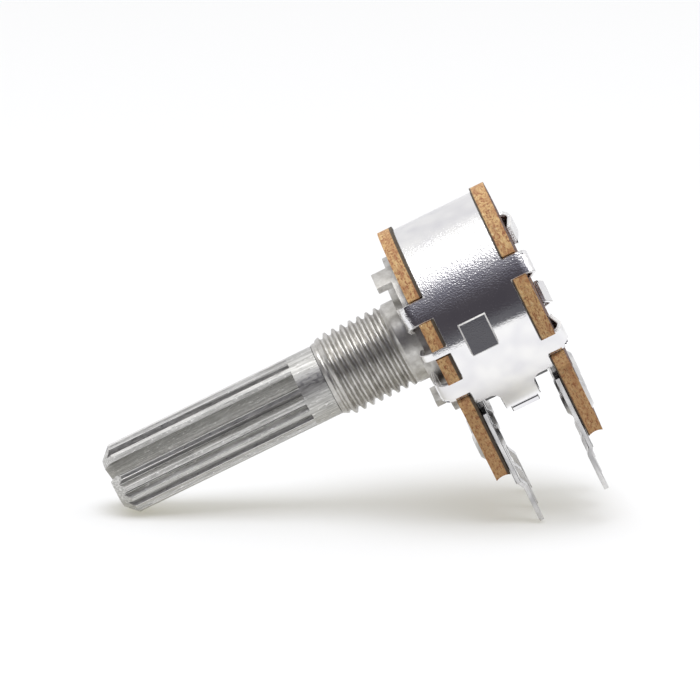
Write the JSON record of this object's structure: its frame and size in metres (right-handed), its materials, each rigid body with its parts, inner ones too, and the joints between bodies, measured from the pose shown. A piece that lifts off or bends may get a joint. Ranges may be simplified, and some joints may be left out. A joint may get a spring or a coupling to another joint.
{
  "type": "rotary potentiometer",
  "caption": "Dual-gang rotary potentiometer with a threaded bush, a split knurled shaft, a sheet-metal can and two boards of pin terminals.",
  "frame": {"origin": "centre of the mounting face, the front of the boss that seats against the panel, on the shaft axis", "axes": "+Z along the shaft towards its knurled tip, -Y towards the terminal pins, +X to the right of the terminals seen from the front"},
  "size_m": [0.0176, 0.0258, 0.0383],
  "materials": {
    "shaft_metal": "knurled aluminium, dull and lightly streaked",
    "cast_zinc": "die-cast zinc, plain warm grey",
    "plated_steel": "zinc-plated steel",
    "phenolic_board": "phenolic paper board, fibrous sawn edge",
    "carbon_print": "printed carbon, matt",
    "silver_print": "printed silver, satin",
    "tinned_rivet": "tinned, satin",
    "moulded_rotor": "moulded, matt black",
    "spring_bronze": "rolled spring bronze",
    "tinplate_can": "bright tin-plated steel sheet",
    "tinned_terminal": "tinned sheet, satin"
  },
  "bodies": {
    "housing": {"bush": "cast_zinc", "front_board": "phenolic_board", "front_track": "carbon_print", "front_conductors": "silver_print", "front_rivets": "tinned_rivet", "front_terminal_1": "tinned_terminal", "front_terminal_2": "tinned_terminal", "front_terminal_3": "tinned_terminal", "can": "tinplate_can", "rear_board": "phenolic_board", "rear_track": "carbon_print", "rear_conductors": "silver_print", "rear_rivets": "tinned_rivet", "rear_terminal_1": "tinned_terminal", "rear_terminal_2": "tinned_terminal", "rear_terminal_3": "tinned_terminal"},
    "rotor": {"shaft": "shaft_metal", "stop_washer": "plated_steel", "front_rotor": "moulded_rotor", "front_wiper": "spring_bronze", "rear_rotor": "moulded_rotor", "rear_wiper": "spring_bronze"}
  },
  "joints": [
    {"name": "shaft_turn", "type": "hinge", "parent": "housing", "child": "rotor", "pos_m": [0, 0, 0], "axis": [0, 0, 1], "range_deg": [-150, 150]}
  ]
}
